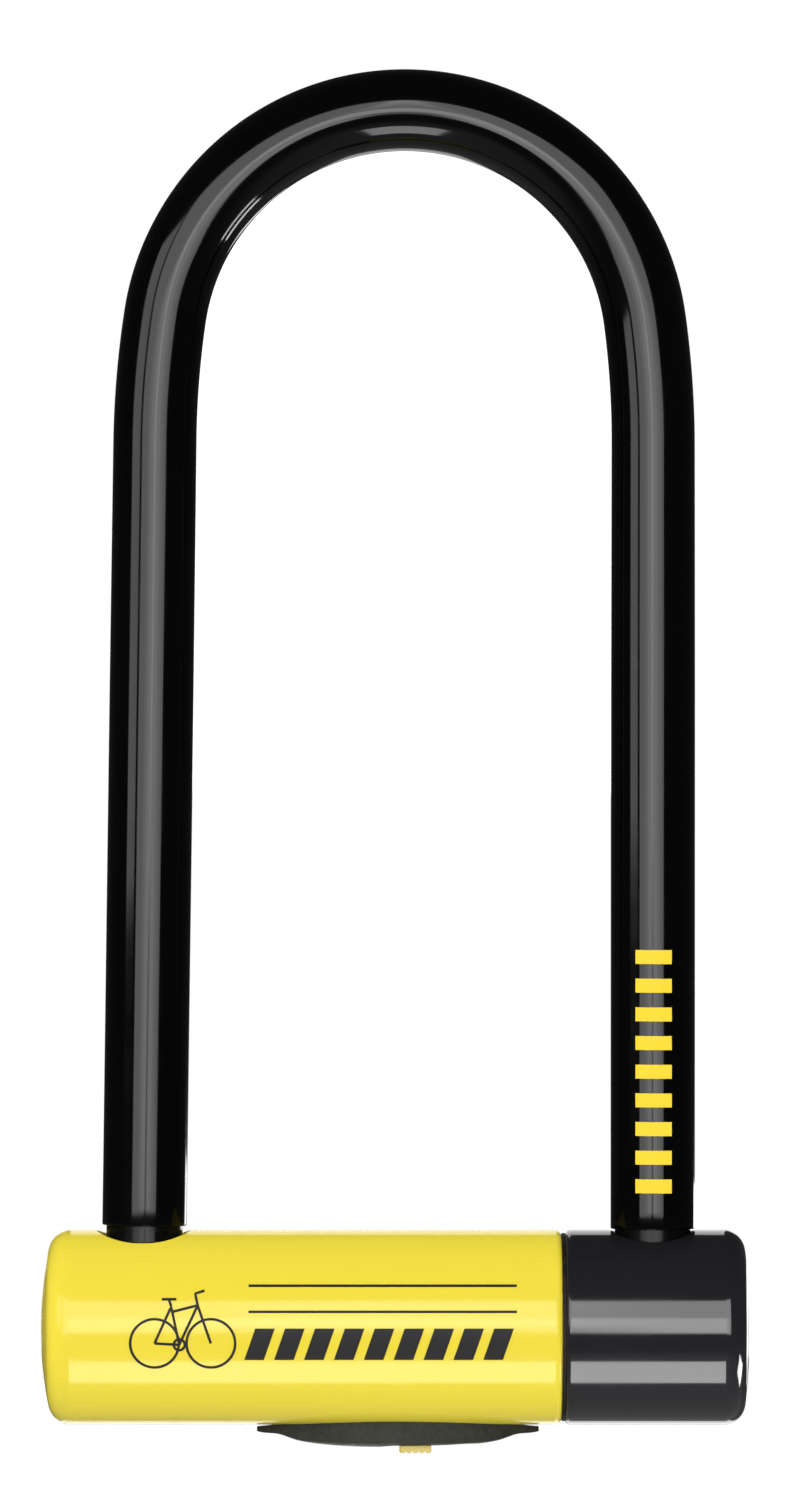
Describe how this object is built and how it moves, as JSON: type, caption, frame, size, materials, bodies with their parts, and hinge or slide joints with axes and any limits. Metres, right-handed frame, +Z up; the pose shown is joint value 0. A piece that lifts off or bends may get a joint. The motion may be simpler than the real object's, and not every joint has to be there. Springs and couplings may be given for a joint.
{
  "type": "bicycle u lock",
  "caption": "Heavy bicycle U lock: a black coated steel shackle in a round yellow and black crossbar, with a disc cylinder, a cam and bolts inside and a sliding dust cover over the keyway.",
  "frame": {"origin": "on the crossbar's axis, midway between the two legs of the shackle, which is also the axis of the lock cylinder", "axes": "+Z up the legs to the bow, +X along the crossbar to the black end cover, -Y to the front, which carries the printed graphic; the keyway points down, -Z"},
  "size_m": [0.1674, 0.046, 0.3271],
  "materials": {
    "yellow_jacket": "smooth semi-gloss moulding",
    "black_cover": "smooth gloss moulding",
    "seam_rubber": "matt",
    "hardened_steel": "heat-treated, dark",
    "tube_steel": "drawn tube, lightly oiled",
    "plated_steel": "zinc plated",
    "pin_steel": "ground",
    "screw_steel": "black oxide",
    "cast_alloy": "as cast",
    "bush_plastic": "matt moulding",
    "bumper_rubber": "matt",
    "bezel_plastic": "fine matt texture",
    "cylinder_brass": "turned",
    "rotor_brass": "turned",
    "disc_steel": "stamped",
    "spring_steel": "spring temper",
    "bolt_steel": "hardened and zinc plated",
    "shackle_steel": "black, half gloss",
    "shackle_vinyl": "smooth satin dipped coat",
    "yellow_tab": "matt moulding"
  },
  "bodies": {
    "crossbar": {"crossbar_jacket": "yellow_jacket", "end_cover": "black_cover", "seam_ring": "seam_rubber", "guard_sleeve": "hardened_steel", "crossbar_tube": "tube_steel", "left_end_plug": "plated_steel", "right_end_plug": "plated_steel", "end_plug_pins": "pin_steel", "chassis_lower": "cast_alloy", "chassis_upper": "cast_alloy", "chassis_screws": "screw_steel", "chassis_pins": "pin_steel", "left_foot_guide": "cast_alloy", "right_foot_guide": "cast_alloy", "left_mouth_bush": "bush_plastic", "right_mouth_bush": "bush_plastic", "left_foot_bumper": "bumper_rubber", "right_foot_bumper": "bumper_rubber", "keyway_bezel": "bezel_plastic", "cylinder_housing": "cylinder_brass", "cylinder_lock_pin": "pin_steel", "rotor_snap_ring": "spring_steel"},
    "rotor": {"cylinder_rotor": "rotor_brass", "front_plate": "hardened_steel", "detainer_discs": "disc_steel", "disc_spacers": "cylinder_brass", "drive_cam": "plated_steel", "cam_clip": "spring_steel"},
    "sidebar": {"sidebar": "pin_steel"},
    "bolt_left": {"left_bolt": "bolt_steel", "left_bolt_pin": "pin_steel"},
    "bolt_right": {"right_bolt": "bolt_steel", "right_bolt_pin": "pin_steel"},
    "shackle": {"shackle_rod": "shackle_steel", "shackle_coat": "shackle_vinyl"},
    "dust_cover": {"dust_cover": "yellow_tab"}
  },
  "joints": [
    {"name": "shackle_lift", "type": "slide", "parent": "crossbar", "child": "shackle", "axis": [0, 0, 1], "range_m": [0, 0.062]},
    {"name": "key_turn", "type": "hinge", "parent": "crossbar", "child": "rotor", "pos_m": [0, 0, 0], "axis": [0, 0, 1], "range_deg": [0, 90]},
    {"name": "left_bolt_slide", "type": "slide", "parent": "crossbar", "child": "bolt_left", "axis": [-1, 0, 0], "range_m": [0, 0.0052]},
    {"name": "right_bolt_slide", "type": "slide", "parent": "crossbar", "child": "bolt_right", "axis": [1, 0, 0], "range_m": [0, 0.0052]},
    {"name": "sidebar_slide", "type": "slide", "parent": "rotor", "child": "sidebar", "axis": [0, 1, 0], "range_m": [0, 0.00115]},
    {"name": "dust_cover_slide", "type": "slide", "parent": "crossbar", "child": "dust_cover", "axis": [1, 0, 0], "range_m": [0, 0.0096]}
  ],
  "couplings": [
    {"joint": "key_turn", "follows": "left_bolt_slide", "rad_per_m": 302.08},
    {"joint": "right_bolt_slide", "follows": "left_bolt_slide", "ratio": 1}
  ]
}
